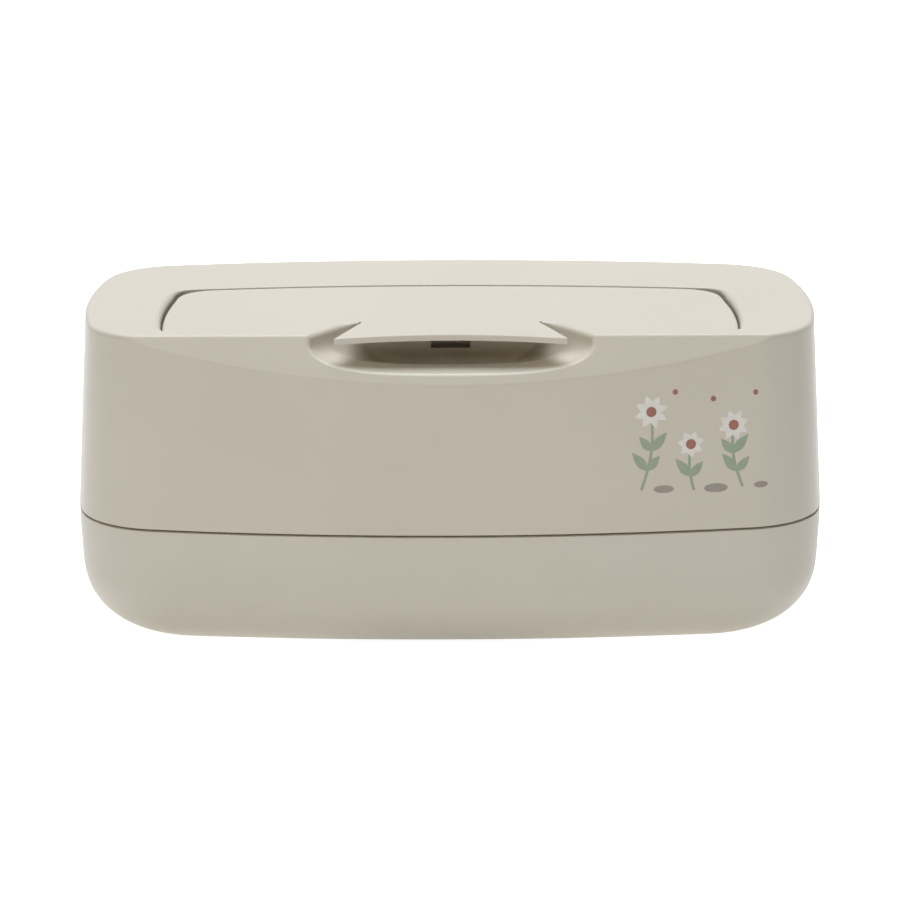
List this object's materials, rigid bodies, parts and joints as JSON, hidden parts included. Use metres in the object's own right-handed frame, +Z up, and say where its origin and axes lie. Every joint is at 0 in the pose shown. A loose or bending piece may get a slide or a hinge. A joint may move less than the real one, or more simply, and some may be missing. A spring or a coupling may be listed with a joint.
{
  "type": "baby wipes box",
  "caption": "Dispensing box with a rounded tray, a lift-off cover, a flush flap lid with a finger scoop under its lip, and a press plate inside.",
  "frame": {"origin": "on the surface that the box stands on, under the middle of its plan", "axes": "+X to the box's right seen from the front, +Y to the back, +Z up"},
  "size_m": [0.24, 0.128, 0.1026],
  "materials": {
    "cover_plastic": "satin moulded polypropylene, warm sand",
    "tray_plastic": "satin moulded polypropylene, warm sand",
    "inner_plastic": "fine matt moulded polypropylene, pale sand",
    "seal_silicone": "soft matt silicone",
    "foot_rubber": "matt thermoplastic rubber",
    "pin_steel": "ground steel",
    "weight_steel": "zinc-plated steel plate"
  },
  "bodies": {
    "tray": {"base_tray": "tray_plastic", "split_seal": "seal_silicone", "foot_front_left": "foot_rubber", "foot_front_right": "foot_rubber", "foot_rear_left": "foot_rubber", "foot_rear_right": "foot_rubber"},
    "cover": {"upper_shell": "cover_plastic", "hinge_pin_left": "pin_steel", "hinge_pin_right": "pin_steel"},
    "flap": {"lid": "cover_plastic", "lid_seal": "seal_silicone"},
    "plate": {"press_plate": "inner_plastic", "press_plate_cover": "inner_plastic", "weight_left": "weight_steel", "weight_right": "weight_steel"}
  },
  "joints": [
    {"name": "cover_lift", "type": "slide", "parent": "tray", "child": "cover", "axis": [0, 0, 1], "range_m": [0, 0.12]},
    {"name": "lid_hinge", "type": "hinge", "parent": "cover", "child": "flap", "pos_m": [0, 0.0095, 0.0992], "axis": [-1, 0, 0], "range_deg": [0, 100]},
    {"name": "plate_lift", "type": "slide", "parent": "tray", "child": "plate", "axis": [0, 0, 1], "range_m": [0, 0.06]}
  ]
}
